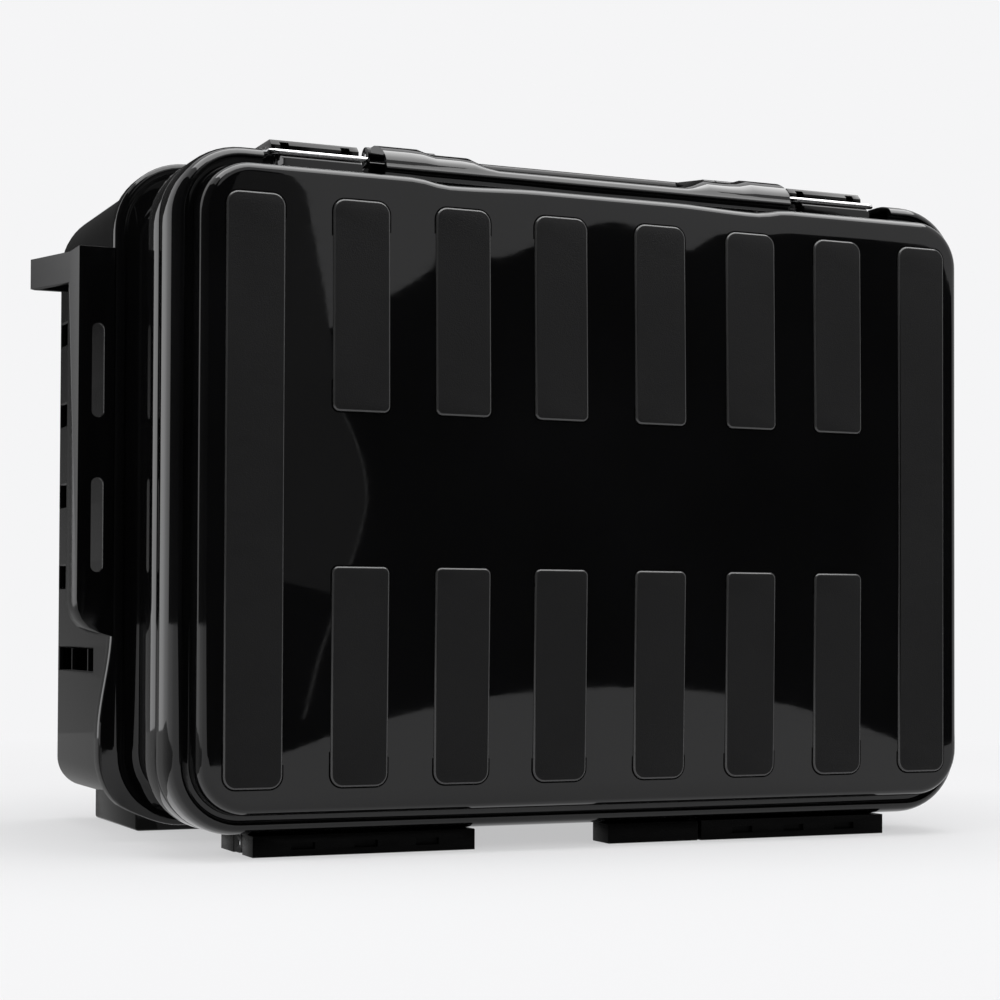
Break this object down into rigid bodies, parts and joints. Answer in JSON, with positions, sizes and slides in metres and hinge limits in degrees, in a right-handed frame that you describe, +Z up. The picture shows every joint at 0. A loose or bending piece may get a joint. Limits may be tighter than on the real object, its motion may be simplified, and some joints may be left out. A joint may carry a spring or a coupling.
{
  "type": "fishing tackle cabinet",
  "caption": "Hard plastic tackle case standing on its hinge side, hinged lid with raised pads, toggle latches, folding handle, slotted side rails with strap loops and a lift-out tray.",
  "frame": {"origin": "bottom centre of the whole case's bounding box, standing on its hinge side", "axes": "+Z up, -Y out of the lid's face, +X to the right seen from the lid's face"},
  "size_m": [0.552, 0.3, 0.384],
  "materials": {
    "gloss_plastic": "polished",
    "black_plastic": "semi-gloss",
    "pad_plastic": "fine grain",
    "seal_rubber": "matte",
    "bright_steel": "bright drawn",
    "screw_steel": "zinc plated",
    "tray_plastic": "satin"
  },
  "bodies": {
    "base": {"base_shell": "gloss_plastic", "hinge_block_left": "black_plastic", "hinge_block_right": "black_plastic", "hinge_rods": "bright_steel", "rear_foot_left": "black_plastic", "rear_foot_right": "black_plastic", "side_rail_left": "black_plastic", "side_rail_right": "black_plastic", "rail_screws": "screw_steel", "latch_bracket_left": "black_plastic", "latch_bracket_right": "black_plastic", "latch_pin_left": "bright_steel", "latch_pin_right": "bright_steel", "handle_lug_left": "black_plastic", "handle_lug_right": "black_plastic", "handle_pins": "bright_steel", "lug_screws": "screw_steel", "lift_out_tray": "tray_plastic", "tray_dividers": "tray_plastic", "main_dividers": "tray_plastic"},
    "lid": {"lid_shell": "gloss_plastic", "lid_gasket": "seal_rubber", "long_pads": "pad_plastic", "upper_pads": "pad_plastic", "lower_pads": "pad_plastic", "lid_leaf_left": "black_plastic", "lid_leaf_right": "black_plastic", "lid_foot": "black_plastic"},
    "lever_left": {"latch_lever_left": "black_plastic"},
    "lever_right": {"latch_lever_right": "black_plastic"},
    "bail_left": {"latch_bail_left": "bright_steel"},
    "bail_right": {"latch_bail_right": "bright_steel"},
    "handle": {"handle": "black_plastic"}
  },
  "joints": [
    {"name": "lid_hinge", "type": "hinge", "parent": "base", "child": "lid", "pos_m": [0, -0.104, 0.0056], "axis": [1, 0, 0], "range_deg": [0, 90]},
    {"name": "lever_left_pivot", "type": "hinge", "parent": "base", "child": "lever_left", "pos_m": [-0.1578, -0.1, 0.37], "axis": [1, 0, 0], "range_deg": [0, 80]},
    {"name": "lever_right_pivot", "type": "hinge", "parent": "base", "child": "lever_right", "pos_m": [0.1578, -0.1, 0.37], "axis": [1, 0, 0], "range_deg": [0, 80]},
    {"name": "bail_left_pivot", "type": "hinge", "parent": "lever_left", "child": "bail_left", "pos_m": [-0.1578, -0.092, 0.3725], "axis": [1, 0, 0], "range_deg": [-108, 0]},
    {"name": "bail_right_pivot", "type": "hinge", "parent": "lever_right", "child": "bail_right", "pos_m": [0.1578, -0.092, 0.3725], "axis": [1, 0, 0], "range_deg": [-108, 0]},
    {"name": "handle_pivot", "type": "hinge", "parent": "base", "child": "handle", "pos_m": [0, -0.096, 0.3738], "axis": [1, 0, 0], "range_deg": [0, 95]}
  ],
  "couplings": [
    {"joint": "bail_left_pivot", "follows": "lever_left_pivot", "ratio": -1.35},
    {"joint": "bail_right_pivot", "follows": "lever_right_pivot", "ratio": -1.35}
  ]
}
